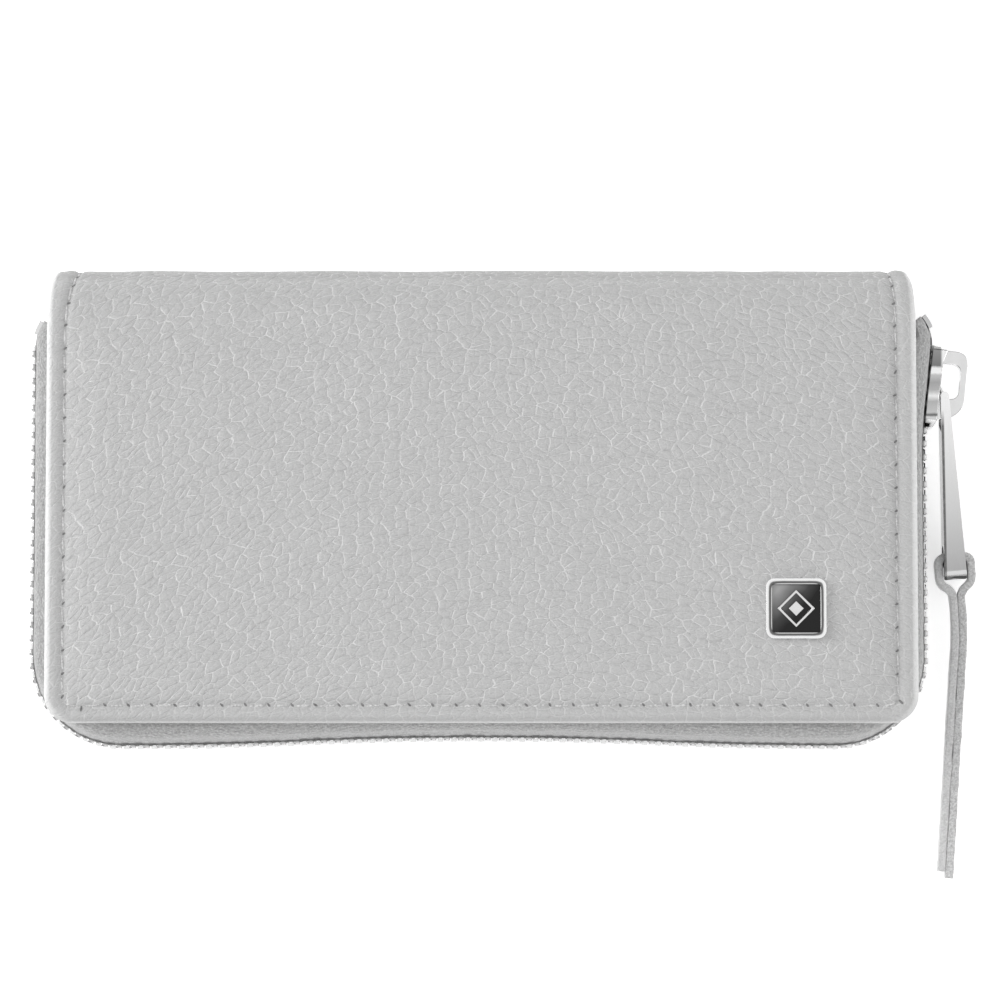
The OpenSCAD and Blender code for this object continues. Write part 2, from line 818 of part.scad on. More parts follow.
module slider_body() {
  nose = 1.2;
  lip_t = 0.35;
  wedge_end = 0.4;
  mouth_y = slider_mouth - nose;
  outer_tail = tail_half + flange_t;
  outer_mouth = mouth_half + flange_t;
  color("gainsboro")
    at_slider() {
      difference() {
        intersection() {
          across(-far, far)
            polygon([
              [-slider_tail, -outer_tail + nose], [-slider_tail + nose, -outer_tail], [spread_from, -outer_tail],
              [flare_from, -outer_mouth], [mouth_y, -outer_mouth], [slider_mouth, -outer_mouth + nose],
              [slider_mouth, outer_mouth - nose], [mouth_y, outer_mouth], [flare_from, outer_mouth],
              [spread_from, outer_tail], [-slider_tail + nose, outer_tail], [-slider_tail, outer_tail - nose]
            ]);
          translate([0, 0, -far / 2])
            linear_extrude(far)
              polygon([
                [-plate_out + nose / 2, -slider_tail], [plate_out - nose / 2, -slider_tail],
                [plate_out, -slider_tail + nose], [plate_out, flare_from],
                [plate_out + mouth_flare, slider_mouth], [-plate_out - mouth_flare, slider_mouth],
                [-plate_out, flare_from], [-plate_out, -slider_tail + nose]
              ]);
        }
        intersection() {
          across(-far, far) channel_outline();
          translate([0, 0, -far / 2])
            linear_extrude(far)
              polygon([
                [-channel_half, -far], [channel_half, -far], [channel_half, spread_to],
                [plate_out + mouth_flare - lip_t, slider_mouth + slice_t],
                [-plate_out - mouth_flare + lip_t, slider_mouth + slice_t], [-channel_half, spread_to]
              ]);
        }
        translate([-slot_half, -far, -far / 2]) cube([2 * slot_half, 2 * far, far]);
      }
      across(-channel_half, channel_half)
        polygon([
          [spread_from + spread_l * (head_reach + slider_clear / 2) / row_spread, 0], [spread_to, wedge_half],
          [mouth_y - wedge_end, wedge_half], [mouth_y, wedge_half / 2], [mouth_y, -wedge_half / 2],
          [mouth_y - wedge_end, -wedge_half], [spread_to, -wedge_half]
        ]);
    }
}

// Bridge over the outer plate, with the window that holds the pull
module slider_crown() {
  top_r = 2.2;
  low_r = 4;
  window_r = 1.2;
  color("gainsboro")
    at_slider()
      translate([plate_out, 0, -bridge_w / 2])
        linear_extrude(bridge_w)
          difference() {
            union() {
              translate([0, low_r - bridge_low]) square([bridge_h, bridge_top - top_r + bridge_low - low_r]);
              translate([0, bridge_top - top_r]) square([bridge_h - top_r, top_r]);
              translate([0, -bridge_low]) square([bridge_h - low_r, low_r]);
              intersection() {
                union() {
                  translate([bridge_h - top_r, bridge_top - top_r]) circle(top_r);
                  translate([bridge_h - low_r, low_r - bridge_low]) circle(low_r);
                }
                translate([0, -far / 2]) square(far);
              }
            }
            translate([-1, -window_low]) square([window_h - window_r + 1, window_low + window_top]);
            translate([0, -window_low + window_r])
              square([window_h, window_low + window_top - 2 * window_r]);
            for (y = [-window_low + window_r, window_top - window_r])
              translate([window_h - window_r, y]) circle(window_r);
            polygon([[0, flare_from], [mouth_flare, slider_mouth], [0, slider_mouth]]);
          }
}

// Tapered pull: thin at its crossbar, thick at the strap hole
module pull_tab() {
  half = pull_w / 2;
  end_half = pull_end_w / 2;
  end_t = pull_end_t / 2;
  color("gainsboro")
    at_pull() {
      difference() {
        intersection() {
          translate([0, 0, -far / 2])
            linear_extrude(far) {
              circle(bar_r);
              polygon([
                [-bar_r, 0], [bar_r, 0], [end_t, -pull_l + pull_chamfer], [end_t - pull_chamfer, -pull_l],
                [-end_t + pull_chamfer, -pull_l], [-end_t, -pull_l + pull_chamfer]
              ]);
            }
          across(-far, far) {
            polygon([
              [bar_r, -half], [bar_r, half],
              [-pull_l + pull_corner_r, end_half], [-pull_l, end_half - pull_corner_r],
              [-pull_l, -end_half + pull_corner_r], [-pull_l + pull_corner_r, -end_half]
            ]);
            for (side = [-1, 1])
              translate([-pull_l + pull_corner_r, side * (end_half - pull_corner_r)]) circle(pull_corner_r);
          }
        }
        translate([-far / 2, -pull_window_l, -pull_window_w / 2]) cube([far, pull_window_l, pull_window_w]);
        translate([-far / 2, -hole_low, 0]) rotate([0, 90, 0]) cylinder(h = far, r = hole_r);
      }
      translate([0, 0, -half]) cylinder(h = pull_w, r = bar_r);
    }
}

// Points beside a path, all the way along it
function beside_path(path, f, n) = [for (s = stations(path)) beside(place_on(path, f, s), n)];
function backward(list) = [for (i = [len(list) - 1:-1:0]) list[i]];

// Ribbon along a path, seen from above
module ribbon(path, f, left, right) {
  polygon(concat(beside_path(path, f, right), backward(beside_path(path, f, left))));
}

// Folded strap: through the hole, down both sides of the pull, and closed below it
module pull_strap() {
  half_bar = loop_half - strap_bend_r;
  tail_path = [
    [glued_l, 0], [strap_turn_r, -strap_turn],
    [tail_l - glued_l - strap_turn_r * strap_turn * PI / 180 - tail_step, 0]
  ];
  tail_start = [0, -strap_bend_r - strap_side - close_l - glued_l / 2, -90];
  tail_end = place_on(tail_path, tail_start, path_length(tail_path, len(tail_path)));
  color("lightgray")
    at_pull()
      translate([0, -hole_low, 0])
        rotate([strap_dip - pull_droop, 0, 0])
          translate([0, 0, -strap_w / 2])
            linear_extrude(strap_w) {
              square([2 * half_bar, strap_t], center = true);
              for (side = [-1, 1])
                ribbon([
                  [strap_bend_r, -90 * side], [strap_side, 0],
                  [close_r, -strap_close_a * side], [close_r, strap_close_a * side], [glued_l, 0]
                ], [half_bar * side, 0, 90 - 90 * side], -strap_t / 2, strap_t / 2);
              ribbon(tail_path, tail_start, -strap_t, strap_t);
              translate([tail_end[0], tail_end[1]])
                rotate(tail_end[2])
                  translate([-tail_step, 0]) square([2 * tail_step, strap_t]);
            }
}

back_cover();
back_board();
back_lining();
back_zip_tape();
back_zip_teeth();
back_top_stop();
zip_bottom_stop();
tool_loop_band();
tip_pocket();
spine_cover();
spine_lining();
front_cover();
front_padding();
front_board();
front_lining();
front_zip_tape();
front_zip_teeth();
front_top_stop();
slip_pocket();
badge_frame();
badge_inlay();
badge_motif();
badge_backing();
slider_body();
slider_crown();
pull_tab();
pull_strap();
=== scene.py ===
import math
import bpy
from mathutils import Matrix, Vector, noise


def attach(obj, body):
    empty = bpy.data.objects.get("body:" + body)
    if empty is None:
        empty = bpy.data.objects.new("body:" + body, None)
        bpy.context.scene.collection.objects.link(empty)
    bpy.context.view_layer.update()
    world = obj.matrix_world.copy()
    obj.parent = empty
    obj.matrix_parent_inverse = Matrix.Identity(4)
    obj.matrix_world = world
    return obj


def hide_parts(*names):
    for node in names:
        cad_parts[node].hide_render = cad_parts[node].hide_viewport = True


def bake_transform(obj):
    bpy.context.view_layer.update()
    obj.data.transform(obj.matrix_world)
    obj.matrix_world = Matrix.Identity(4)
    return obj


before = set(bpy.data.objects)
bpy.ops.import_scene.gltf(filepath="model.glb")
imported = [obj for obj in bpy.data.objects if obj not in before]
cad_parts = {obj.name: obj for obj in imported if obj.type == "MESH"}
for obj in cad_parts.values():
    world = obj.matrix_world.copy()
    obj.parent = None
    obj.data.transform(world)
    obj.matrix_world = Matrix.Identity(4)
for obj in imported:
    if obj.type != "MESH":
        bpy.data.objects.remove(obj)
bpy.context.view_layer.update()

# Sizes in mm, as the solids have them
MM = 0.001
side_x, open_y, crest_y, case_t = 75, -39.8, 39.8, 27
mid_z = case_t / 2
panel_r, leather_t, edge_r, seat_z, lining_t = 4.8, 1.2, 0.9, 3.0, 0.8
lining_z, inside_z = 3.6, 4.4
spine_r, corner_r, spine_a, flat_y = 20, 7.75, 27.9946, 30.6167
zip_r, hook_r, hook_a, zip_wave = 15, 7, 35, 1.4
zip_half, zip_y, zip_top = 76.9, -42.6, 26.3167
zip_start = (-76.1341, 30.3317, math.radians(-125))
wave_a = 2 * math.degrees(math.atan(zip_wave / (zip_half - zip_r)))
wave_r = (zip_half - zip_r) / (2 * math.sin(math.radians(wave_a)))
tilt, lean_r, lean_start, lean_l = 6, 30, 9.12079, 7.3
spread_l, open_l, row_spread = 5.5, 1.9, 1.8
zip_path = [
    (hook_r, hook_a), (zip_top - zip_y - zip_r, 0), (zip_r, 90), (wave_r, wave_a), (wave_r, -2 * wave_a),
    (wave_r, wave_a), (zip_r, 90), (lean_start - zip_y - zip_r, 0), (lean_r, -tilt), (lean_l - 1, 0),
    (spread_l, 0), (open_l, 0), (hook_r, hook_a + tilt + 5)]
tape_t, tape_bend_r, tape_seam, bead_r, bead_drop, tooth_pitch = 0.6, 2.2, 5, 0.55, 1.75, 2.37
hinge, hole_low, droop, pull_lean, dip = (80.7366, 18.7561, mid_z), 29.6, 17.5541, 4.5, 2.94794
strap_t, strap_w, strap_l, strap_bend_r, strap_side, pull_end_t = 1.4, 3.2, 56, 1.4, 2.2, 4
close_a, strap_turn, strap_turn_r, glued_l, tail_step = 60, 8, 60, 1, 1.1
badge_x, badge_y = 53.9, -20.4
loop_pitch, loop_count, loop_t, loop_w, loop_up, pocket_d, pocket_up = 25, 5, 1, 14, 44, 15, 6
slip_w, slip_d, slip_up, slip_gap, cloth_t = 112, 46, 7, 0.3, 0.8


# Walking along a line of straight stretches (length, 0) and bends (radius, degrees, left is positive)
def stretch_length(g):
    return g[0] * abs(math.radians(g[1])) if g[1] else g[0]


def step_on(f, g, t):
    x, y, h = f
    if not g[1]:
        return x + t * math.cos(h), y + t * math.sin(h), h
    side = math.copysign(1, g[1])
    k = h + side * t / g[0]
    return x + side * g[0] * (math.sin(k) - math.sin(h)), y - side * g[0] * (math.cos(k) - math.cos(h)), k


def place_on(path, f, s):
    for g in path[:-1]:
        if s <= stretch_length(g):
            return step_on(f, g, s)
        f, s = step_on(f, g, stretch_length(g)), s - stretch_length(g)
    return step_on(f, path[-1], s)


def path_length(path):
    return sum(stretch_length(g) for g in path)


def steps(low, high, size):
    count = max(1, round((high - low) / size))
    return [low + (high - low) * i / count for i in range(count)]


def smooth(t):
    t = min(1, max(0, t))
    return t * t * (3 - 2 * t)


class Value:
    """A socket that Python's operators work on."""

    def __init__(self, finish, socket):
        self.finish, self.socket = finish, socket

    def math(self, operation, *others):
        return self.finish.node("ShaderNodeMath", {"operation": operation}, self, *others)

    def __add__(self, other):
        return self.math("ADD", other)

    def __sub__(self, other):
        return self.math("SUBTRACT", other)

    def __mul__(self, other):
        return self.math("MULTIPLY", other)

    def __rsub__(self, other):
        return self.finish.node("ShaderNodeMath", {"operation": "SUBTRACT"}, other, self)

    __radd__ = __add__


class Finish:
    """A material being made: its shader's own sockets take the constants."""

    def __init__(self, name, **constants):
        self.material = bpy.data.materials.new(name)
        self.material.use_nodes = True
        self.tree = self.material.node_tree
        self.shader = self.tree.nodes["Principled BSDF"]
        for socket, value in constants.items():
            self.shader.inputs[socket.replace("_", " ")].default_value = value

    def node(self, kind, settings, *values, out=0, **named):
        made = self.tree.nodes.new(kind)
        for key, value in settings.items():
            if key == "stops":
                while len(made.color_ramp.elements) < len(value):
                    made.color_ramp.elements.new(0.5)
                for stop, (place, shade) in zip(made.color_ramp.elements, value):
                    stop.position = place
                    stop.color = (shade, shade, shade, 1)
            else:
                setattr(made, key, value)
        for socket, value in [*zip(made.inputs, values), *((made.inputs[k], v) for k, v in named.items())]:
            if isinstance(value, Value):
                self.tree.links.new(value.socket, socket)
            elif value is not None:
                socket.default_value = value
        return Value(self, made.outputs[out])

    def at(self, uv=True, scale=(1, 1, 1)):
        """A place on the piece, by its own UV map or by Object coordinates."""
        source = self.node("ShaderNodeTexCoord", {}, out=2 if uv else 3)
        return self.node("ShaderNodeMapping", {}, source, Scale=scale)

    def part(self, value, k):
        return self.node("ShaderNodeSeparateXYZ", {}, value, out=k)

    def attribute(self, name):
        return self.node("ShaderNodeAttribute", {"attribute_name": name}, out=2)

    def noise(self, where, scale, detail=2, rough=0.5):
        return self.node("ShaderNodeTexNoise", {}, Vector=where, Scale=scale, Detail=detail, Roughness=rough)

    def cells(self, where, scale, feature="F1"):
        settings = {"feature": feature, "voronoi_dimensions": "2D"}
        return self.node("ShaderNodeTexVoronoi", settings, Vector=where, Scale=scale)

    def ramp(self, value, *stops):
        return self.node("ShaderNodeValToRGB", {"stops": stops}, value)

    def mix(self, share, low, high):
        """From low to high by the share. The node's two colours come after five sockets of other kinds."""
        return self.node("ShaderNodeMix", {"data_type": "RGBA"}, share, *[None] * 5, low, high, out=2)

    def shove(self, where, amount, scale):
        """where, moved about by noise."""
        push = self.node("ShaderNodeTexNoise", {}, Vector=where, Scale=scale, Detail=1.0, out=1)
        push = self.node("ShaderNodeVectorMath", {"operation": "SUBTRACT"}, push, (0.5, 0.5, 0.5))
        push = self.node("ShaderNodeVectorMath", {"operation": "SCALE"}, push, Scale=amount)
        return self.node("ShaderNodeVectorMath", {"operation": "ADD"}, where, push)

    def set(self, socket, value):
        self.tree.links.new(value.socket, self.shader.inputs[socket])

    def bump(self, height, depth, strength=1.0):
        made = self.node("ShaderNodeBump", {}, Height=height, Distance=depth, Strength=strength)
        self.set("Normal", made)


def grey(v):
    return v, v, v, 1


def leather_finish():
    """Pebbled leather: small cells between fine creases with a painted highlight along them, slanting on the
    left and level on the right.
    """
    made = Finish("pebbled leather", Specular_IOR_Level=0.35)
    level_x, shear, cells_across, cells_along = 0.02, 3.2, 420, 640
    flat = made.at()
    x, y = made.part(flat, 0), made.part(flat, 1)
    off = x - level_x
    slant = made.node("ShaderNodeCombineXYZ", {}, x * cells_across, (y + off * off * shear) * cells_along)
    bent = made.shove(made.shove(slant, 0.7, 0.45), 0.12, 3.0)
    crease = made.cells(bent, 1, "DISTANCE_TO_EDGE")
    net = made.cells(made.shove(slant, 0.4, 0.8), 1.9, "DISTANCE_TO_EDGE")
    margin, rim, seam = (made.attribute(name) for name in ("margin", "rim", "seam"))
    pores = made.noise(flat, 3200, 3.0, 0.75)
    mottle = made.noise(flat, 1100, 2.0, 0.6)
    here = made.ramp(made.noise(flat, 380), (0.4, 0.1), (0.62, 1.0))
    there = made.ramp(made.noise(flat, 520), (0.42, 0.1), (0.62, 0.8))
    slow = made.noise(flat, 60)
    # The pale creases are a painted highlight, as light caught on the crease walls, weaker on the margin
    # outside the stitches
    line = made.ramp(crease, (0.0, 1.0), (0.03, 0.75), (0.07, 0.0)) * (here * 0.7 + 0.3)
    fine = made.ramp(net, (0.0, 1.0), (0.03, 0.6), (0.075, 0.0)) * there
    crease_highlight = (line + fine * 0.55) * (1 - margin * 0.5)
    # shade is a painted shadow along one side of each crease
    shade = made.ramp(crease, (0.03, 1.0), (0.1, 0.6), (0.2, 0.0)) * here
    tone = made.mix(made.ramp(pores, (0.32, 0.0), (0.68, 1.0)), grey(0.455), grey(0.56))
    tone = made.mix(made.ramp(mottle, (0.35, 0.0), (0.65, 1.0)) * 0.3, tone, grey(0.57))
    tone = made.mix(shade * 0.16, tone, grey(0.34))
    tone = made.mix(slow * 0.25, tone, grey(0.46))
    # Painted shade: a darker band near the crest of the spine
    tone = made.mix(made.ramp(y * 25, (0.94, 0.0), (1.0, 1.0)) * 0.5, tone, grey(0.3))
    tone = made.mix(crease_highlight * 0.75, tone, grey(0.83))
    # seam is painted shade in the groove of the stitches and on the roll beside the open side's edge
    tone = made.mix(seam * 0.35, tone, grey(0.3))
    # rim is a painted highlight on the turned edge
    tone = made.mix(rim * 0.8, tone, grey(0.86))
    made.set("Base Color", tone)
    made.set("Roughness", 0.36 + pores * 0.2)
    dome = made.ramp(crease, (0.0, 0.0), (0.08, 0.5), (0.3, 1.0))
    folds = dome * (1 - margin * 0.5) + made.ramp(net, (0.0, 0.0), (0.2, 1.0)) * 0.35
    made.bump(folds + pores * 0.35 + mottle * 0.5, 0.00016)
    return made.material


def thread_finish():
    made = Finish("sewing thread", Roughness=0.5, Sheen_Weight=0.3)
    fuzz = made.noise(made.at(uv=False), 2500, 3.0)
    made.set("Base Color", made.mix(made.ramp(fuzz, (0.35, 0.0), (0.65, 1.0)), grey(0.4), grey(0.74)))
    made.bump(fuzz, 0.00005)
    return made.material


def hole_shadow_finish():
    # The needle hole's dark colour is a painted shadow
    made = Finish("needle hole", Roughness=0.9, Specular_IOR_Level=0.1)
    shadow_speckle = made.noise(made.at(uv=False), 3000)
    made.set("Base Color", made.mix(shadow_speckle, grey(0.08), grey(0.34)))
    return made.material


def tape_finish():
    """Woven tape: ribs along its length, flecked with pale and dark yarns, with a painted shadow above the
    cord between the teeth.
    """
    made = Finish("zip tape", Roughness=0.8, Sheen_Weight=0.3, Specular_IOR_Level=0.3)
    flat = made.at()
    long = made.at(scale=(0.35, 1, 1))
    rib = made.noise(long, 2300, 2.0, 0.6)
    fleck = made.noise(made.at(scale=(0.6, 1, 1)), 3300, 3.0, 0.75)
    knit = made.cells(made.shove(flat, 0.0003, 900), 2400)
    slow = made.noise(flat, 150)
    tone = made.mix(made.ramp(rib, (0.35, 0.0), (0.65, 1.0)), grey(0.31), grey(0.46))
    tone = made.mix(made.ramp(fleck, (0.5, 0.0), (0.64, 1.0)) * 0.55, tone, grey(0.78))
    tone = made.mix(made.ramp(fleck, (0.34, 1.0), (0.44, 0.0)) * 0.45, tone, grey(0.13))
    tone = made.mix(slow * 0.3, tone, grey(0.32))
    # Painted shadow on the strip just above the cord, in the gaps between the teeth
    first_tooth = 0.696
    girth = made.part(flat, 1) * 50
    between = (made.part(flat, 0) * (1000 / tooth_pitch) + first_tooth).math("FRACT")
    between = made.ramp(between, (0.15, 0.15), (0.3, 1.0), (0.7, 1.0), (0.85, 0.15))
    dark = made.ramp(girth, (0.62, 0.0), (0.68, 1.0), (0.9, 1.0), (0.94, 0.0))
    tone = made.mix(dark * between * 0.85, tone, grey(0.05))
    made.set("Base Color", tone)
    made.bump(rib * 0.8 + fleck * 0.7 + knit * 0.6, 0.00016)
    return made.material


def lining_finish():
    """Plain dark weave in the piece's own UV, with slubs and lint."""
    low, high, threads = 0.05, 0.1, 3000
    made = Finish("lining cloth", Roughness=0.85, Sheen_Weight=0.25, Specular_IOR_Level=0.25)
    where = made.shove(made.at(), 0.0004, 900)
    over = made.node("ShaderNodeTexWave", {"bands_direction": "X"}, Vector=where, Scale=threads / 6.28)
    under = made.node("ShaderNodeTexWave", {"bands_direction": "Y"}, Vector=where, Scale=threads / 6.28)
    cloth = over * under + (1 - over) * (1 - under)
    lint = made.noise(made.at(), threads * 1.6, 3.0, 0.7)
    slow = made.noise(made.at(), 120)
    tone = made.mix(cloth, grey(low), grey(high))
    tone = made.mix(made.ramp(lint, (0.45, 0.0), (0.75, 1.0)) * 0.2, tone, grey(high * 1.45))
    tone = made.mix(slow * 0.3, tone, grey(low * 0.85))
    made.set("Base Color", tone)
    made.bump(cloth + lint * 0.6, 0.00006)
    return made.material


def metal_finish(name, tone, rough):
    """Plated metal with faint brushing and wear."""
    scratch = 0.06
    made = Finish(name, Metallic=1.0)
    brushed = made.noise(made.at(uv=False), 1800, 3.0, 0.7)
    worn = made.noise(made.at(uv=False), 420, 3.0, 0.6)
    made.set("Base Color", made.mix(worn, grey(tone * 0.93), grey(min(1.0, tone * 1.05))))
    made.set("Roughness", brushed * scratch + worn * 0.05 + (rough - scratch / 2))
    made.bump(brushed, 0.00001, 0.5)
    return made.material


def slider_finish():
    """Plating of the slider, with painted reflections in light and dark bands along its length as its curved
    plate would show them, and a painted highlight on its outer lip.
    """
    low_y, length, lip_x = 0.0125, 0.014, 0.079
    made = Finish("slider plating", Metallic=1.0)
    where = made.at(uv=False)
    worn = made.noise(where, 900, 3.0, 0.7)
    share = (made.part(where, 1) - low_y) * (1 / length) + (worn - 0.5) * 0.03
    # Painted reflections: light and dark bands along the slider
    tone = made.ramp(share, (0.02, 0.6), (0.1, 0.7), (0.125, 0.12), (0.16, 0.6), (0.3, 0.5),
                     (0.37, 0.92), (0.44, 0.5), (0.53, 0.42), (0.62, 0.6), (0.65, 1.0),
                     (0.7, 0.95), (0.73, 0.22), (0.96, 0.34))
    # Painted highlight on the outer lip at the slider's mouth
    outer_lip = made.ramp((made.part(where, 0) - lip_x) * 500, (0.42, 0.0), (0.6, 1.0))
    mouth = made.ramp(share, (0.7, 0.0), (0.74, 1.0))
    made.set("Base Color", made.mix(outer_lip * mouth, tone, grey(0.95)))
    made.set("Roughness", worn * 0.2 + 0.08)
    return made.material


def pull_finish():
    """Brushed plating of the pull, with a painted reflection lighter towards its crossbar and a painted
    shadow as a dark line down its left edge.
    """
    pull_l, half_top, taper = 0.034, 0.00072, 0.03855
    made = Finish("brushed plating", Metallic=1.0)
    turn = math.radians(pull_lean)
    where = made.at(uv=False)
    px, py = made.part(where, 0) - hinge[0] * MM, made.part(where, 1) - hinge[1] * MM
    along = py * math.cos(turn) - px * math.sin(turn)
    down = along * (-1 / pull_l)
    edge = px * math.cos(turn) + py * math.sin(turn) + (half_top - along * taper)
    brushed = made.noise(made.at(uv=False, scale=(1, 0.06, 1)), 1900, 3.0, 0.7)
    worn = made.noise(made.at(uv=False, scale=(0.3, 1, 1)), 900, 3.0, 0.8)
    # Painted reflection: lighter towards the crossbar, darker towards the far end
    tone = made.ramp(down, (0.05, 1.0), (0.3, 0.86), (0.62, 0.66), (0.95, 0.4), (0.968, 0.12))
    tone = made.mix(brushed * 0.25, tone, grey(0.7))
    # Painted shadow: a dark line down the left edge, for the pull's shaded side
    line = made.ramp(edge * 1000, (0.34, 1.0), (0.5, 0.0)) * made.ramp(down, (0.1, 0.0), (0.18, 1.0))
    tone = made.mix(line * made.ramp(worn, (0.45, 1.0), (0.7, 0.85)), tone, grey(0.16))
    made.set("Base Color", tone)
    made.set("Roughness", brushed * 0.12 + worn * 0.05 + 0.1)
    made.bump(brushed, 0.00001, 0.5)
    return made.material


def badge_square(made):
    """Distance from the badge's middle, in mm, measured as rounded squares."""
    squareness = 9.0
    where = made.node("ShaderNodeTexCoord", {}, out=3)
    x, y = (made.part(where, 0) - badge_x * MM) * 1000, (made.part(where, 1) - badge_y * MM) * 1000
    x, y = (k.math("ABSOLUTE").math("POWER", squareness) for k in (x, y))
    return (x + y).math("POWER", 1 / squareness)


def rim_finish():
    """Plated frame with a painted highlight on its outer edge and painted shade in the groove inside it."""
    inner = 4.0
    made = Finish("badge plating", Metallic=1.0)
    worn = made.noise(made.at(uv=False), 700, 3.0, 0.6)
    share = (badge_square(made) - inner) * 0.6 + (worn - 0.5) * 0.06
    # Painted highlight and painted shade in rings round the badge
    tone = made.ramp(share, (0.08, 0.5), (0.16, 0.75), (0.22, 0.12), (0.38, 0.2), (0.46, 0.9), (0.6, 1.0))
    made.set("Base Color", tone)
    made.set("Roughness", worn * 0.12 + 0.06)
    return made.material


def enamel_finish():
    """Dark enamel with a painted reflection, lighter at its upper left."""
    made = Finish("dark enamel", Specular_IOR_Level=0.3)
    where = made.node("ShaderNodeTexCoord", {}, out=3)
    x, y = made.part(where, 0) - badge_x * MM, made.part(where, 1) - badge_y * MM
    cloud = made.noise(made.at(uv=False), 300)
    # Painted reflection: lighter towards the upper left
    share = (y - x * 1.15) * 95 + cloud * 0.2 + 0.25
    made.set("Base Color", made.ramp(share, (0.25, 0.006), (0.5, 0.05), (0.8, 0.2), (1.0, 0.36)))
    made.set("Roughness", cloud * 0.1 + 0.12)
    return made.material


def board_finish():
    made = Finish("grey board", Roughness=0.9)
    fibre = made.noise(made.at(uv=False, scale=(1, 3, 1)), 900, 4.0, 0.7)
    made.set("Base Color", made.mix(fibre, (0.36, 0.31, 0.25, 1), (0.5, 0.45, 0.38, 1)))
    made.bump(fibre, 0.00006)
    return made.material


def strap_finish():
    """Smooth leather faces with raw, furry edges, which the attribute raw_edge marks."""
    made = Finish("strap leather", Sheen_Weight=0.2)
    raw = made.attribute("raw_edge")
    fur = made.noise(made.at(uv=False), 2600, 4.0, 0.75)
    pores = made.noise(made.at(uv=False), 900, 3.0)
    smooth_tone = made.mix(pores, grey(0.6), grey(0.76))
    raw_tone = made.mix(made.ramp(fur, (0.3, 0.0), (0.7, 1.0)), grey(0.36), grey(0.86))
    made.set("Base Color", made.mix(raw, smooth_tone, raw_tone))
    made.set("Roughness", 0.5 + raw * 0.35)
    made.bump(fur * raw + pores * 0.25, 0.0002)
    return made.material


# Making pieces
touching = 1e-6


def alone():
    bpy.ops.object.select_all(action="DESELECT")


def pick(piece):
    alone()
    piece.select_set(True)
    bpy.context.view_layer.objects.active = piece


def edit(piece):
    """Opens the piece with all of its mesh selected."""
    pick(piece)
    bpy.ops.object.mode_set(mode="EDIT")
    bpy.ops.mesh.select_all(action="SELECT")


def leave():
    bpy.ops.object.mode_set(mode="OBJECT")


def grid(name, us, vs, lay):
    """Sheet with a corner of its mesh at every pair of us and vs, each put in place by lay(u, v), in mm."""
    alone()
    n, m = len(us) - 1, len(vs) - 1
    bpy.ops.mesh.primitive_grid_add(x_subdivisions=n, y_subdivisions=m, size=1)
    piece = bpy.context.object
    piece.name = name
    mesh = piece.data
    spots = [(us[round((v.co.x + 0.5) * n)], vs[round((v.co.y + 0.5) * m)]) for v in mesh.vertices]
    for v, (a, b) in zip(mesh.vertices, spots):
        v.co = Vector(lay(a, b)) * MM
    uv = mesh.uv_layers.active.data
    for loop in mesh.loops:
        a, b = spots[loop.vertex_index]
        uv[loop.index].uv = (a * MM, b * MM)
    bpy.ops.object.shade_smooth()
    return piece, spots


def merge(piece):
    """Merges what touches, and turns the faces outward."""
    edit(piece)
    bpy.ops.mesh.remove_doubles(threshold=touching)
    bpy.ops.mesh.normals_make_consistent(inside=False)
    leave()


def thicken(piece, mm, offset):
    """Gives a sheet its thickness: inward of its face at -1, outward at 1 and both ways at 0."""
    pick(piece)
    wall = piece.modifiers.new("wall", "SOLIDIFY")
    wall.thickness, wall.offset = mm * MM, offset
    bpy.ops.object.modifier_apply(modifier=wall.name)


def finished(piece, material):
    piece.data.materials.clear()
    piece.data.materials.append(material)
    return piece


def sleeve(name, us, outlines, lay):
    """Closed tube: outlines[u] has the points round it at u, and lay(u, a, b) puts each in place."""
    count = len(outlines[us[0]])
    middle = outlines[us[len(us) // 2]]
    girth = [0]
    for k in range(count):
        a, b = middle[k], middle[(k + 1) % count]
        girth.append(girth[-1] + math.hypot(b[0] - a[0], b[1] - a[1]))
    number = {g: k % count for k, g in enumerate(girth)}
    piece, _ = grid(name, us, girth, lambda u, g: lay(u, *outlines[u][number[g]]))
    edit(piece)
    bpy.ops.mesh.remove_doubles(threshold=touching)
    bpy.ops.mesh.select_all(action="DESELECT")
    bpy.ops.mesh.select_non_manifold()
    bpy.ops.mesh.edge_face_add()
    bpy.ops.mesh.select_all(action="SELECT")
    bpy.ops.mesh.fill_holes(sides=0)
    bpy.ops.mesh.normals_make_consistent(inside=False)
    leave()
    return piece


def polished(node, name, material, width, rounds):
    """Copy of a metal solid with its edges rounded off by so many facets."""
    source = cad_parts[node]
    piece = bpy.data.objects.new(name, source.data.copy())
    bpy.context.scene.collection.objects.link(piece)
    flat_a, sharp_a = math.radians(0.6), math.radians(32)
    merge(piece)
    edit(piece)
    bpy.ops.mesh.dissolve_limited(angle_limit=flat_a)
    leave()
    edge = piece.modifiers.new("edge", "BEVEL")
    edge.width, edge.segments = width * MM, rounds
    edge.limit_method, edge.angle_limit = "ANGLE", sharp_a
    bpy.ops.object.modifier_apply(modifier=edge.name)
    bpy.ops.object.shade_smooth()
    shading = piece.modifiers.new("shading", "WEIGHTED_NORMAL")
    bpy.ops.object.modifier_apply(modifier=shading.name)
    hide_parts(node)
    return finished(piece, material)


def on_back(spot):
    return spot[0], spot[1], case_t - spot[2]


# Outer face of the leather: t runs from the open side over the panel and round the spine to its middle
corner_l = corner_r * math.radians(90 - spine_a)
half_spine_l = corner_l + spine_r * math.radians(spine_a)


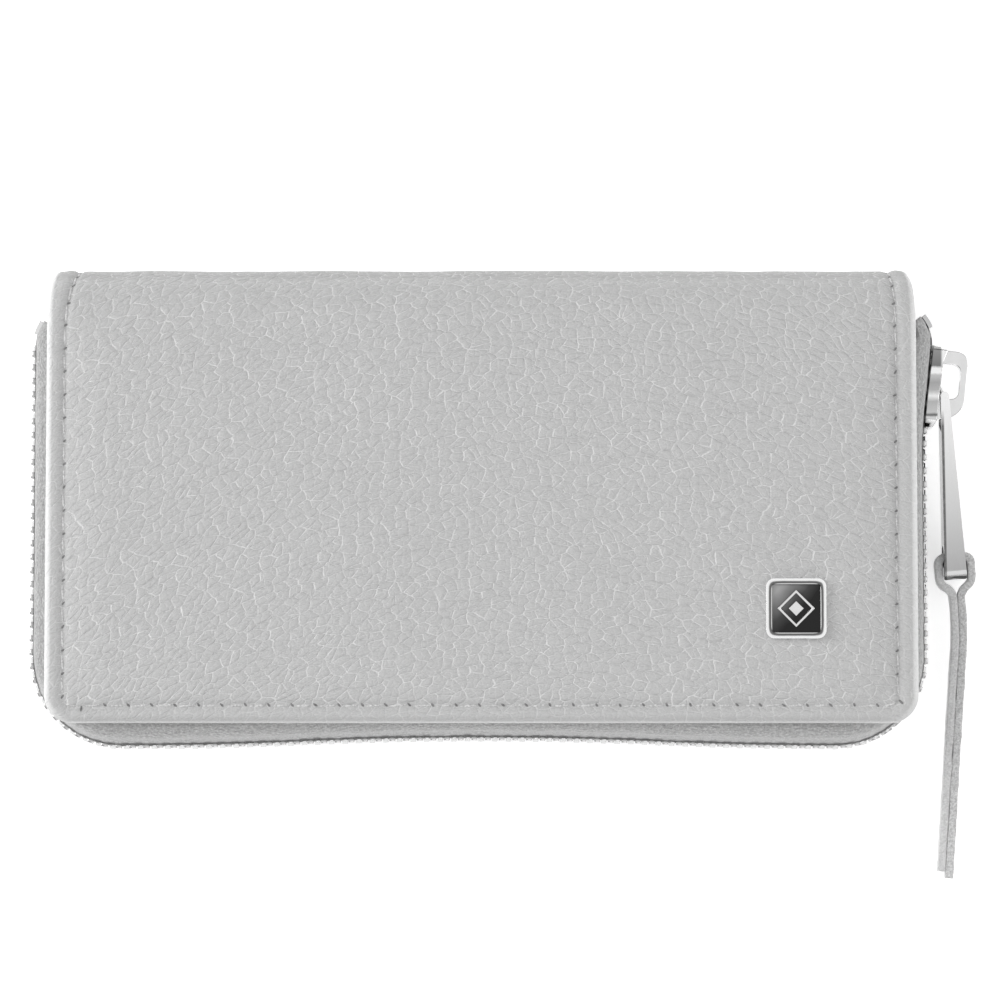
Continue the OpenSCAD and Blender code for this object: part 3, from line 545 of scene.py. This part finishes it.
def section(t):
    """Height line of the case at t: (y, z, inward y, inward z)."""
    if t <= flat_y:
        return t, case_t, 0, -1
    s = t - flat_y
    if s < corner_l:
        a = math.pi / 2 - s / corner_r
        y, z, r = flat_y, case_t - corner_r, corner_r
    else:
        a = math.radians(spine_a) - (s - corner_l) / spine_r
        y, z, r = crest_y - spine_r, mid_z, spine_r
    return y + r * math.cos(a), z + r * math.sin(a), -math.cos(a), -math.sin(a)


waist = 0.011


def drawn_in(x, v):
    """The case is a little narrower at the spine."""
    return x * (1 - waist * smooth((v - flat_y + 3) / (half_spine_l + 3)) * abs(x) / side_x)


# Turned edge: a quarter turn, the wall beside the board and a lip under it
quarter = edge_r * math.pi / 2
lip = 1.5


def turn_edge(s, wall):
    """How far out and how far down the leather is, s past the flat: round the edge, down the wall and in."""
    if s < quarter:
        return edge_r * math.sin(s / edge_r), edge_r * (1 - math.cos(s / edge_r))
    if s < quarter + wall:
        return edge_r, edge_r + s - quarter
    return edge_r - (s - quarter - wall), edge_r + wall


corner_x, corner_y = side_x - panel_r, open_y + panel_r
flat_corner = panel_r - edge_r
wall_l = seat_z - edge_r
turned_l = quarter + wall_l + lip
spine_wall = 0.45

# Stitches: distance from the panel's edge on each side, and their row's lean round the spine
stitch_left, stitch_right, stitch_open, stitch_pitch, stitch_turn_r = 3.1, 3.6, 2.9, 4.0, 2.0
lean_in_by, lean_in_from, lean_in_over = 1.1, 27, 14
seam_dip, seam_w, roll, roll_at, roll_w = 0.4, 0.6, 0.16, 1.6, 0.9

# Padded crown of the front, and the soft sway of both panels
crown_h, crown_curve, crown_corner_r, crown_foot, crown_rise, crown_fade = 1.3, 2.3, 11, 3.3, 9, 17
sway_h, sway_l, ripple, ripple_l = 0.22, 17, 0.12, 6


def edge_distance(x, y):
    qx, qy = abs(x) - corner_x, corner_y - y
    if qx > 0 and qy > 0:
        return panel_r - math.hypot(qx, qy)
    return panel_r - max(qx, qy)


def crown_height(x, t):
    """Padded crown inside the stitches, which fades towards the spine."""
    r = crown_corner_r
    qx, qy = abs(x) - (side_x - r), open_y + r - t
    d = r - math.hypot(qx, qy) if qx > 0 and qy > 0 else r - max(qx, qy)
    d = min(1, max(0, (d - crown_foot) / crown_rise))
    return crown_h * (1 - (1 - d) ** crown_curve) * smooth((flat_y + 5 - t) / crown_fade)


def stitch_lean(v):
    """How far the left row leans in where it goes round the spine."""
    return lean_in_by * smooth((v - lean_in_from) / lean_in_over)


def stitch_distance(x, t):
    """Signed distance of a spot on the panel from the line of stitches."""
    qx, qy = abs(x) - corner_x, corner_y - t
    side = stitch_left + stitch_lean(t) if x < 0 else stitch_right
    if qy <= 0:
        share = 1
    elif qx <= 0:
        share = 0
    else:
        share = math.atan2(qx, max(qy, 1e-6)) / (math.pi / 2)
    edge = edge_distance(x, max(t, open_y) if t < flat_y else flat_y)
    return edge - (side * share + stitch_open * (1 - share))


def leather_spot(u, v, crown):
    """Where the leather lies that is u across and v along when laid out flat."""
    x, t, down, wall = u, v, 0, wall_l
    side = math.copysign(1, u)
    round_l = flat_corner + turned_l
    if v < corner_y and abs(u) > corner_x:
        a, b = (abs(u) - corner_x) / round_l, (corner_y - v) / round_l
        a, b = a * math.sqrt(1 - b * b / 2), b * math.sqrt(1 - a * a / 2)
        reach = round_l * math.hypot(a, b)
        ax, ay = a / math.hypot(a, b), b / math.hypot(a, b)
        if reach > flat_corner:
            out, down = turn_edge(reach - flat_corner, wall)
            reach = flat_corner + out
        x, t = side * (corner_x + reach * ax), corner_y - reach * ay
    elif v < corner_y:
        if v < open_y + edge_r:
            out, down = turn_edge(open_y + edge_r - v, wall)
            t = open_y + edge_r - out
    else:
        wall = wall_l + (spine_wall - wall_l) * smooth((v - flat_y + 2) / 4)
        if abs(u) > side_x - edge_r:
            out, down = turn_edge(abs(u) - side_x + edge_r, wall)
            x = side * (side_x - edge_r + out)
    height = 0
    if down < edge_r:
        seam = stitch_distance(x, t)
        height = crown_height(x, t) if crown else 0
        height -= seam_dip * math.exp(-(seam / seam_w) ** 2)
        height += roll * smooth((t - corner_y + 8) / 8) * math.exp(-((seam + roll_at) / roll_w) ** 2)
        soft = noise.noise(Vector((x, t, 9 if crown else 40)) / sway_l) * sway_h
        fine = noise.noise(Vector((x, t, 3)) / ripple_l)
        height += soft * smooth(seam / 8) + ripple * fine * smooth((t - 24) / 8)
    y, z, ny, nz = section(t)
    return drawn_in(x, v), y + ny * (down - height), z + nz * (down - height)


def leather_rows(low, high, flat_low, flat_high):
    """Rows of the leather's mesh, closer round its edges than over its flat."""
    dense, sparse = 0.33, 0.5
    return [*steps(low, flat_low, dense), *steps(flat_low, flat_high, sparse),
            *steps(flat_high, high, dense), high]


def painted_edge_shading(u, v):
    """How much a spot takes the painted highlight of the turned edge, broad up the sides and thin at the open
    side, and how much the painted shade of the roll beside the thin line."""
    qx, qy = abs(u) - corner_x, corner_y - v
    side, low = qx - flat_corner, qy - flat_corner
    if qx > 0 and qy > 0:
        side = low = math.hypot(qx, qy) - flat_corner
    share = 1 if qy <= 0 else smooth((qx + 1) / (abs(qx) + abs(qy) + 2))
    wide = smooth((side + 0.15) / 0.45) * (1 - smooth((side - 1.5) / 0.5)) * share
    thin = 0.6 * math.exp(-((low - 1.15) / 0.2) ** 2) * (1 - share)
    return max(wide, thin), 0.8 * math.exp(-((low - 0.35) / 0.45) ** 2) * (1 - share)


def leather_piece(name, crown):
    u_end = side_x - edge_r + turned_l
    v_start = open_y + edge_r - turned_l
    us = leather_rows(-u_end, u_end, -69, 69)
    vs = leather_rows(v_start, flat_y + half_spine_l, open_y + 6, flat_y + half_spine_l - 1)
    piece, spots = grid(name, us, vs, lambda u, v: leather_spot(u, v, crown))
    seams = [stitch_distance(min(side_x, max(-side_x, u)), v) for u, v in spots]
    edge_shading = [painted_edge_shading(u, v) for u, v in spots]
    # rim holds the painted highlight of the turned edge; seam holds painted shade in the stitch groove,
    # weaker along the open side, and on the roll
    for key, values in (
            ("rim", [a for a, _ in edge_shading]), ("margin", [smooth(-a / 0.8) for a in seams]),
            ("seam", [math.exp(-(a / 0.3) ** 2) * (1 if spot[1] > corner_y else 0.4) + rim[1]
                      for a, spot, rim in zip(seams, spots, edge_shading)])):
        piece.data.attributes.new(key, "FLOAT", "POINT").data.foreach_set("value", values)
    return piece


def stitch_spots():
    """Ends of the stitches on the flat leather, down the left side, along the open side and up the right."""
    left, right = -side_x + stitch_left, side_x - stitch_right
    low = open_y + stitch_open
    r = stitch_turn_r
    up = flat_y + half_spine_l - low - r
    path = [(up, 0), (r, 90), (right - left - 2 * r, 0), (r, 90), (up, 0)]
    start = (left, flat_y + half_spine_l, math.radians(-90))
    count = round(path_length(path) / stitch_pitch)
    pitch = path_length(path) / count
    return [place_on(path, start, (i + 0.5) * pitch) for i in range(count)], pitch


def lean_in(u, v):
    return u + (stitch_lean(v) if u < 0 else 0)


def stitches(name, crown):
    """Short threads sunk into the leather with a slanting dark mark between them, the needle hole's painted
    shadow, one mesh.
    """
    near = 0.3
    thread_size, hole_size, hole_slant, hole_lift = (1.55, 0.2, 0.17), (0.58, 0.2, 0.07), -58, 0.03
    spots, pitch = stitch_spots()
    made = []
    for i, (u, v, h) in enumerate(spots):
        for step, hole in ((0, False), (pitch / 2, True)):
            loose = 0.12 * noise.noise(Vector((i * 1.7, step, 4)))
            p = u + step * math.cos(h) - loose * math.sin(h), v + step * math.sin(h) + loose * math.cos(h)
            q = p[0] + near * math.cos(h), p[1] + near * math.sin(h)
            r = p[0] - near * math.sin(h), p[1] + near * math.cos(h)
            a, ahead, beside = (Vector(leather_spot(lean_in(*k), k[1], crown)) for k in (p, q, r))
            along = (ahead - a).normalized()
            made.append((a, along, along.cross(beside - a).normalized(), hole))
    alone()
    bpy.ops.mesh.primitive_uv_sphere_add(segments=10, ring_count=6, radius=1)
    first = bpy.context.object
    pieces = []
    for a, along, up, hole in made:
        turn = Matrix((along, up.cross(along), up)).transposed().to_4x4()
        wobble = 1 + 0.25 * noise.noise(a * 0.7)
        slant = Matrix.Rotation(math.radians(hole_slant + 30 * noise.noise(a * 0.9) if hole else 4), 4, "Z")
        l, w, t = hole_size if hole else thread_size
        shape = Matrix.Diagonal((l * wobble, w, t, 1) if hole else (l, w * wobble, t, 1))
        mesh = first.data.copy()
        lift = up * (hole_lift if hole else 0.0)
        mesh.transform(Matrix.Scale(MM, 4) @ Matrix.Translation(a + lift) @ turn @ slant @ shape)
        mesh.materials.append(needle_hole_shadow if hole else thread)
        one = bpy.data.objects.new(name, mesh)
        bpy.context.scene.collection.objects.link(one)
        pieces.append(one)
    bpy.data.objects.remove(first)
    pick(pieces[0])
    for one in pieces:
        one.select_set(True)
    bpy.ops.object.join()
    piece = bpy.context.object
    piece.name = name
    bpy.ops.object.shade_smooth()
    return piece


def arc_points(centre, r, low, high, count):
    turns = [math.radians(low + (high - low) * i / count) for i in range(count + 1)]
    return [(centre[0] + r * math.cos(a), centre[1] + r * math.sin(a)) for a in turns]


def tape_section(seam, drop):
    """Seam, bend, strip and the cord in the tape's edge, for a cord lowered by drop."""
    bend = (-tape_bend_r, seat_z + tape_t / 2 + tape_bend_r)
    cord = (0, mid_z - bead_drop - drop)
    neck = math.degrees(math.asin(tape_t / 2 / bead_r))
    out = arc_points(bend, tape_bend_r + tape_t / 2, -90, 0, 7)
    back = arc_points(bend, tape_bend_r - tape_t / 2, 0, -90, 7)
    rise = (bend[1], cord[1] - bead_r * 0.9)
    side = [(tape_t / 2, rise[0] + (rise[1] - rise[0]) * i / 6) for i in range(1, 6)]
    return [(-tape_bend_r - seam, seat_z), *out, *side, *arc_points(cord, bead_r, neck - 90, 270 - neck, 10),
            *[(-tape_t / 2, z) for _, z in reversed(side)], *back, (-tape_bend_r - seam, seat_z + tape_t)]


zip_l = path_length(zip_path)
hook_l = stretch_length(zip_path[0])
spread_s = path_length(zip_path[:10])
end_seam, tape_lean, tape_soft, tape_soft_h = 0.3, 0.55, 0.16, 8


def tape_piece(name, front):
    us = [*steps(0, zip_l, 0.8), zip_l]
    outlines = {}
    for s in us:
        drop = row_spread * min(1, max(0, (s - spread_s) / spread_l))
        seam = end_seam + (tape_seam - end_seam) * smooth((s - hook_l) / 2) * smooth((zip_l - hook_l - s) / 2)
        outlines[s] = tape_section(seam, drop)

    def lay(s, n, z):
        x, y, h = place_on(zip_path, zip_start, s)
        if 0 < z - seat_z < tape_soft_h:
            soft = noise.noise(Vector((s / 4.5 + z / 5, z / 9, 5 if front else 70)))
            n += tape_soft * soft * smooth((z - seat_z) / 2)
            n -= tape_lean * smooth((10.6 - z) / 4)
        spot = x + n * math.sin(h), y - n * math.cos(h), z
        return on_back(spot) if front else spot

    return sleeve(name, us, outlines, lay)


# Lining: over the panel and round the fold to the middle of the spine
lining_x, lining_y, lining_r, lining_end = 73.6, open_y + 1.2, 7.5, flat_y + half_spine_l
filled_x, filled_y, filled_end = 69.4, 33.7, 29


def lining_depth(t):
    return inside_z - (inside_z - leather_t - lining_t) * smooth((t - 29.2) / 2.6)


def lining_spot(u, v):
    cx, cy = lining_x - lining_r, lining_y + lining_r
    x, t = u, v
    if v < cy and abs(u) > cx:
        a, b = (abs(u) - cx) / lining_r, (cy - v) / lining_r
        x = math.copysign(cx + lining_r * a * math.sqrt(1 - b * b / 2), u)
        t = cy - lining_r * b * math.sqrt(1 - a * a / 2)
    x = drawn_in(x, t)
    y, z, ny, nz = section(t)
    depth = lining_depth(t) - 0.08 * noise.noise(Vector((x / 22, t / 22, 2)))
    return x, y + ny * depth, z + nz * depth


def lining_piece(name):
    us = [*steps(-lining_x, lining_x, 1.6), lining_x]
    vs = [*steps(lining_y, 27, 1.6), *steps(27, lining_end, 0.7), lining_end]
    piece, _ = grid(name, us, vs, lining_spot)
    thicken(piece, lining_t, 1)
    for v in piece.data.vertices:
        x, y, z = v.co / MM
        rim = min(filled_x - abs(x), y + filled_y, filled_end - y)
        if rim > 0 and z > case_t - inside_z + lining_t / 2:
            v.co.z += (lining_z - seat_z) * smooth(rim / 1.2) * MM
    return piece


# Tool loops and tip pockets: a strip of lining raised in arches
foot_r, arch_r, arch_a, strip_x, closed_l, pressed = 1.5, 6.597, 75, 69, 3.4, 0.94
foot_x = (foot_r + arch_r) * math.sin(math.radians(arch_a))
arch_path, arch_from = [], -strip_x
for i in range(loop_count):
    start_x = (i - (loop_count - 1) / 2) * loop_pitch - foot_x
    arch_path += [(start_x - arch_from, 0), (foot_r, arch_a), (arch_r, -2 * arch_a), (foot_r, arch_a)]
    arch_from = start_x + 2 * foot_x
arch_path.append((strip_x - arch_from, 0))


def arches(name, low, high, closed):
    """The strip from low to high along Y. A pocket's low end sinks until it is closed."""
    mid = inside_z + loop_t / 2

    def lay(u, v):
        x, z, h = place_on(arch_path, (-strip_x, mid, 0), u)
        sunk = closed and v < low + closed_l
        rise = math.sqrt(max(0, 1 - ((low + closed_l - v) / closed_l) ** 2)) if sunk else 1
        hem = 0.14 * math.exp(-((min(v - low + (9 if closed else 0), high - v) - 1.8) / 0.3) ** 2)
        soft = 0.25 * noise.noise(Vector((x / 9, v / 9, z / 6))) * smooth((z - inside_z - 1) / 3)
        n = soft - hem
        return x - n * math.sin(h), v, mid + (z + n * math.cos(h) - mid) * rise

    length = path_length(arch_path)
    piece, _ = grid(name, [*steps(0, length, 0.7), length], [*steps(low, high, 0.5), high], lay)
    thicken(piece, loop_t * pressed, 0)
    return piece


def slip_piece(name):
    """Flat pocket on the front lining, sewn down on three sides, hemmed and a little slack at its mouth."""
    low = open_y + slip_up

    def lay(u, v):
        edge = min(slip_w / 2 - abs(u), v - low)
        hem = 0.12 * math.exp(-((edge - 1.5) / 0.25) ** 2)
        if edge > 3:
            hem += 0.12 * math.exp(-((low + slip_d - 4 - v) / 0.3) ** 2)
        slack = 0.7 * smooth((edge - 3) / 16) * (0.6 + 0.4 * smooth(v / 10))
        sway = 0.15 * noise.noise(Vector((u / 14, v / 14, 7))) * smooth((edge - 3) / 6)
        return u, v, case_t - inside_z - cloth_t / 2 - slip_gap * smooth((edge - 2) / 2) - slack + hem + sway

    fine, wide, side, high = 0.3, 1.2, slip_w / 2, low + slip_d
    us = [*steps(-side, -side + 4, fine), *steps(-side + 4, side - 4, wide),
          *steps(side - 4, side, fine), side]
    vs = [*steps(low, low + 4, fine), *steps(low + 4, high - 6, wide), *steps(high - 6, high, fine), high]
    piece, _ = grid(name, us, vs, lay)
    thicken(piece, cloth_t * pressed, 0)
    return piece


# Strap: two strips that start in the pull's hole, pass round its end and lie side by side
pull_place = (Matrix.Translation(hinge) @ Matrix.Rotation(math.radians(droop), 4, "X")
              @ Matrix.Rotation(math.radians(pull_lean), 4, "Z"))
strap_place = (pull_place @ Matrix.Translation((0, -hole_low, 0))
               @ Matrix.Rotation(math.radians(dip - droop), 4, "X"))
half_bar = pull_end_t / 2 + 0.15 + strap_t / 2 - strap_bend_r
close_r = (half_bar + strap_bend_r - strap_t / 2) / (2 * (1 - math.cos(math.radians(close_a))))
close_l = 2 * close_r * math.sin(math.radians(close_a))
tail_l = (strap_l - strap_bend_r - strap_side - close_l - glued_l
          - strap_turn_r * math.radians(strap_turn) - tail_step)


def strap_strip(name, side, wear):
    """Half the strap, to the left (-1) or right (1) of the pull."""
    path = [(half_bar, 0), (strap_bend_r, -90 * side), (strap_side, 0), (close_r, -close_a * side),
            (close_r, close_a * side), (glued_l * 1.5, 0), (strap_turn_r + side * strap_t / 2, -strap_turn),
            (tail_l + (tail_step if side > 0 else 0), 0)]
    start = (0, 0, 0 if side > 0 else math.pi)
    length = path_length(path)
    us = [*steps(0, length, 0.4), length]
    w, t, r, facet = strap_w / 2, strap_t / 2, 0.3, 0.4
    corner = []
    for cx, cy, a in ((t - r, w - r, 0), (r - t, w - r, 90), (r - t, r - w, 180), (t - r, r - w, 270)):
        corner += arc_points((cx, cy), r, a, a + 90, 3)
    ring = []
    for k, (n, z) in enumerate(corner):
        ring.append((n, z))
        n2, z2 = corner[(k + 1) % len(corner)]
        gap = max(1, round(math.hypot(n2 - n, z2 - z) / facet))
        ring += [(n + (n2 - n) * i / gap, z + (z2 - z) * i / gap) for i in range(1, gap)]
    outlines = {s: ring for s in us}

    def lay(s, n, z):
        x, y, h = place_on(path, start, s)
        spot = Vector((s / 1.7, n * 2 + side * 7, z * 1.3))
        fray = noise.noise(spot) * 0.14 + noise.noise(spot * 3.1) * 0.07
        at_edge = abs(z) > w - r - 0.05
        n += fray * (0.4 + 0.6 * wear) * (1 if at_edge else 0.25)
        z += fray * (1 if at_edge else 0)
        if s > length - 0.05:
            k = 0.35 * noise.noise(Vector((n * 2, z * 2, side)))
            x, y = x + k * math.cos(h), y + k * math.sin(h)
        return strap_place @ Vector((x - n * math.sin(h), y + n * math.cos(h), z))

    piece = sleeve(name, us, outlines, lay)
    back = strap_place.inverted()
    raw = [min(1, wear + 0.5 * max(0, abs((back @ (v.co / MM)).z) - w + r) / r) for v in piece.data.vertices]
    piece.data.attributes.new("raw_edge", "FLOAT", "POINT").data.foreach_set("value", raw)
    points = [strap_place @ Vector((*place_on(path, start, s)[:2], 0)) * MM
              for s in [*steps(0, length, 1), length]]
    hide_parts("pull_strap")
    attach(piece, "strap")
    length * MM
    return piece


# Camera, floor and light
def studio():
    bpy.ops.object.camera_add(location=(0.0032, -0.0865612, 0.9098566), rotation=(math.radians(5.5), 0, 0))
    camera = bpy.context.object
    camera.data.lens, camera.data.sensor_width = 185.74, 36
    camera.data.clip_start, camera.data.clip_end = 0.01, 20
    bpy.context.scene.camera = camera
    alone()
    bpy.ops.mesh.primitive_plane_add(size=6, location=(0, 0, -0.0001))
    floor = bpy.context.object
    floor.name = "floor"
    paper = Finish("white paper", Roughness=0.9, Emission_Color=(1, 1, 1, 1), Emission_Strength=0.45)
    tooth = paper.noise(paper.at(uv=False), 300)
    paper.set("Base Color", paper.mix(tooth, grey(0.92), grey(0.94)))
    floor.data.materials.append(paper.material)
    for name, size, power, where, aim in [
        ("top light", 3.2, 20.5, (0.0, -0.1, 1.6), (0, -0.1, 0)),
        ("left light", 0.8, 8.2, (-0.95, 0.25, 0.5), (0, 0, 0.01)),
        ("right light", 0.8, 3.2, (0.95, 0.1, 0.5), (0, 0, 0.01)),
        ("front light", 0.8, 2.6, (0.1, -1.0, 0.45), (0, 0, 0.01)),
    ]:
        bpy.ops.object.light_add(type="AREA", location=where)
        light = bpy.context.object
        light.name = name
        light.data.size, light.data.energy = size, power
        light.rotation_euler = (Vector(aim) - Vector(where)).to_track_quat("-Z", "Y").to_euler()
    world = bpy.data.worlds.new("studio")
    bpy.context.scene.world = world
    world.use_nodes = True
    world.node_tree.nodes["Background"].inputs["Color"].default_value = (1, 1, 1, 1)
    world.node_tree.nodes["Background"].inputs["Strength"].default_value = 0.25
    bpy.context.scene.view_settings.view_transform = "Standard"


studio()
strap_leather = strap_finish()
for name, side, wear in (("strap_left", -1, 0.15), ("strap_right", 1, 0.9)):
    strap_strip(name, side, wear).data.materials.append(strap_leather)

leather = leather_finish()
thread = thread_finish()
needle_hole_shadow = hole_shadow_finish()
tape = tape_finish()
lining = lining_finish()
chrome = metal_finish("bright plating", 0.82, 0.1)
satin = pull_finish()
tooth_plating = metal_finish("tooth plating", 0.6, 0.16)
slider_plating = slider_finish()
badge_plating = rim_finish()
board = board_finish()
enamel = enamel_finish()


def to_back(piece):
    """Turns a piece made for the front over to the back."""
    for v in piece.data.vertices:
        v.co.z = case_t * MM - v.co.z
    edit(piece)
    bpy.ops.mesh.flip_normals()
    leave()
    return piece


flat_w, flat_l = 2 * (side_x - edge_r + turned_l), flat_y + half_spine_l - open_y - edge_r + turned_l
front = leather_piece("front_leather", True)
finished(front, leather)
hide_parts("front_cover", "front_padding")
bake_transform(front)
front_thread = stitches("front_stitches", True)
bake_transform(front_thread)

back = leather_piece("back_leather", False)
finished(to_back(back), leather)
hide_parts("back_cover", "spine_cover")
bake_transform(back)
flat_w * MM
flat_l * MM
back_thread = to_back(stitches("back_stitches", False))
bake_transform(back_thread)

cloth = finished(lining_piece("front_lining_cloth"), lining)
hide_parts("front_lining", "spine_lining")
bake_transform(cloth)
cloth = finished(to_back(lining_piece("back_lining_cloth")), lining)
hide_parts("back_lining", "spine_lining")
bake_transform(cloth)

arch_l = path_length(arch_path) * MM
pocket_hem = 2.4
loop_low = open_y + loop_up
pocket_low, pocket_high = open_y + pocket_up - pocket_hem, open_y + pocket_up + pocket_d
loops = finished(arches("tool_loops", loop_low, loop_low + loop_w, False), lining)
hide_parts("tool_loop_band")
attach(loops, "back_half")
pocket = finished(arches("tip_pockets", pocket_low, pocket_high, True), lining)
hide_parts("tip_pocket")
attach(pocket, "back_half")
slip = finished(slip_piece("slip_pocket_cloth"), lining)
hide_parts("slip_pocket")
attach(slip, "front_half")

for name, body, node, on_front in [("front_tape", "front_half", "front_zip_tape", True),
                                   ("back_tape", "back_half", "back_zip_tape", False)]:
    piece = finished(tape_piece(name, on_front), tape)
    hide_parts(node)
    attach(piece, body)
    zip_l * MM

for node, body, name, material, slot, width in [
    ("back_zip_teeth", "back_half", "back_teeth", tooth_plating, "chrome", 0.08),
    ("front_zip_teeth", "front_half", "front_teeth", tooth_plating, "chrome", 0.08),
    ("back_top_stop", "back_half", "back_stop", tooth_plating, "chrome", 0.1),
    ("front_top_stop", "front_half", "front_stop", tooth_plating, "chrome", 0.1),
    ("zip_bottom_stop", "back_half", "bottom_stop", chrome, "chrome", 0.1),
    ("slider_body", "zip_slider", "slider", slider_plating, "chrome", 0.2),
    ("slider_crown", "zip_slider", "crown", chrome, "chrome", 0.2),
    ("pull_tab", "pull", "pull_plate", satin, "chrome", 0.25),
    ("badge_frame", "front_half", "badge_rim", badge_plating, "chrome", 0.12),
    ("badge_motif", "front_half", "badge_relief", chrome, "chrome", 0.1),
    ("badge_inlay", "front_half", "badge_plate", enamel, "badge_plate", 0.05),
]:
    # The teeth are many, so each keeps few faces
    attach(polished(node, name, material, width, 1 if name.endswith("teeth") else 2), body)

for node, material in [("badge_backing", chrome), ("back_board", board), ("front_board", board)]:
    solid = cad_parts[node]
    solid.data.materials.clear()
    solid.data.materials.append(material)
